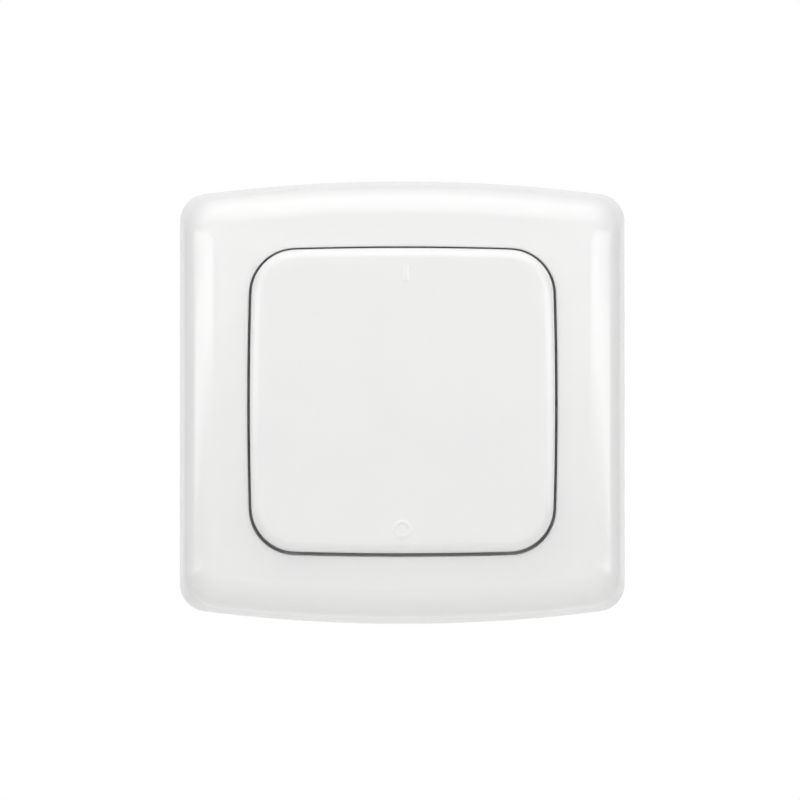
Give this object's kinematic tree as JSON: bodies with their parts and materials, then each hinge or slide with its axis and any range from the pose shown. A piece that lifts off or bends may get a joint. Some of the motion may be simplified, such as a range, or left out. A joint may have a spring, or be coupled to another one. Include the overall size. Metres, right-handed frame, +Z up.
{
  "type": "wireless remote wall switch",
  "caption": "Square wall-mounted radio light switch: a large centre-off rocker in a bowed cover frame, over a coin-cell transmitter module on a wall plate.",
  "frame": {"origin": "middle of the wall plate's back face, which lies on the wall", "axes": "+Z up the wall, +X to the right as seen from the room, +Y into the wall; the rocker faces -Y"},
  "size_m": [0.08, 0.0155, 0.0796],
  "materials": {
    "cover_plastic": "white ABS, moulded with a fine satin gloss",
    "plate_plastic": "white ABS, moulded matt",
    "module_plastic": "light grey ABS, moulded matt",
    "carrier_plastic": "white acetal, moulded smooth",
    "pin_plastic": "natural acetal",
    "spring_steel": "drawn spring wire",
    "contact_metal": "nickel-plated spring sheet",
    "cell_steel": "nickel-plated pressed steel",
    "screw_steel": "zinc-plated steel",
    "board_laminate": "glass-fibre board with green solder mask",
    "switch_plastic": "black moulded switch body",
    "silicone": "translucent white silicone",
    "chip_epoxy": "black moulding compound",
    "can_metal": "nickel-plated can",
    "copper_wire": "enamelled copper wire",
    "capacitor_case": "yellow moulded case",
    "chip_ceramic": "fired ceramic body"
  },
  "bodies": {
    "housing": {"wall_plate": "plate_plastic", "frame": "cover_plastic", "module_base": "module_plastic", "module_cover": "module_plastic", "module_screws": "screw_steel", "circuit_board": "board_laminate", "battery": "cell_steel", "battery_contact_negative": "contact_metal", "battery_contact_positive": "contact_metal", "return_spring_on": "spring_steel", "return_spring_off": "spring_steel", "tact_switch_on": "switch_plastic", "tact_switch_off": "switch_plastic", "tact_actuator_on": "silicone", "tact_actuator_off": "silicone", "controller_chip": "chip_epoxy", "saw_resonator": "can_metal", "antenna_coil": "copper_wire", "tantalum_capacitor": "capacitor_case", "chip_resistors": "chip_ceramic"},
    "rocker": {"rocker": "cover_plastic", "rocker_carrier": "carrier_plastic"},
    "pin_on": {"push_pin_on": "pin_plastic"},
    "pin_off": {"push_pin_off": "pin_plastic"}
  },
  "joints": [
    {"name": "rocker_tilt", "type": "hinge", "parent": "housing", "child": "rocker", "pos_m": [0, -0.01153, 0], "axis": [1, 0, 0], "range_deg": [-2.2, 2.2], "stiffness_Nm_per_rad": 1.5},
    {"name": "pin_on_travel", "type": "slide", "parent": "housing", "child": "pin_on", "axis": [0, 1, 0], "range_m": [-0.00055, 0.00055], "deforming": ["return_spring_on", "tact_actuator_on"]},
    {"name": "pin_off_travel", "type": "slide", "parent": "housing", "child": "pin_off", "axis": [0, 1, 0], "range_m": [-0.00055, 0.00055], "deforming": ["return_spring_off", "tact_actuator_off"]}
  ],
  "couplings": [
    {"joint": "pin_on_travel", "follows": "rocker_tilt", "m_per_rad": -0.014},
    {"joint": "pin_off_travel", "follows": "rocker_tilt", "m_per_rad": 0.014}
  ]
}
